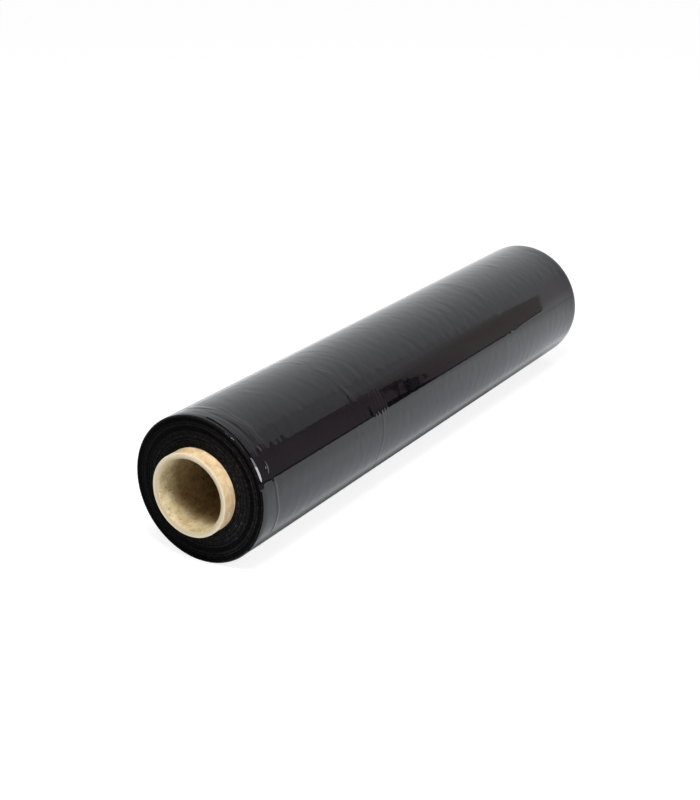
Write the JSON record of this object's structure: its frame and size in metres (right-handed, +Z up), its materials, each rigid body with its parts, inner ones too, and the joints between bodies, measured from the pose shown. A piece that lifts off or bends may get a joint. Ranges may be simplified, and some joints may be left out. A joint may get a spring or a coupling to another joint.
{
  "type": "stretch wrap roll",
  "caption": "Roll of glossy black stretch film wound on a longer cardboard core, lying on its side on a small flat spot.",
  "frame": {"origin": "on the surface that the roll lies on, under the middle of the roll's length and axis", "axes": "+X along the roll's axis, from the end that the picture shows nearest to the far one, +Y across the roll, +Z up"},
  "size_m": [0.522, 0.106, 0.1056],
  "materials": {
    "core_board": "matt kraft cardboard",
    "black_film": "glossy black film"
  },
  "bodies": {
    "root": {"core_tube": "core_board", "film_roll": "black_film"}
  },
  "joints": []
}
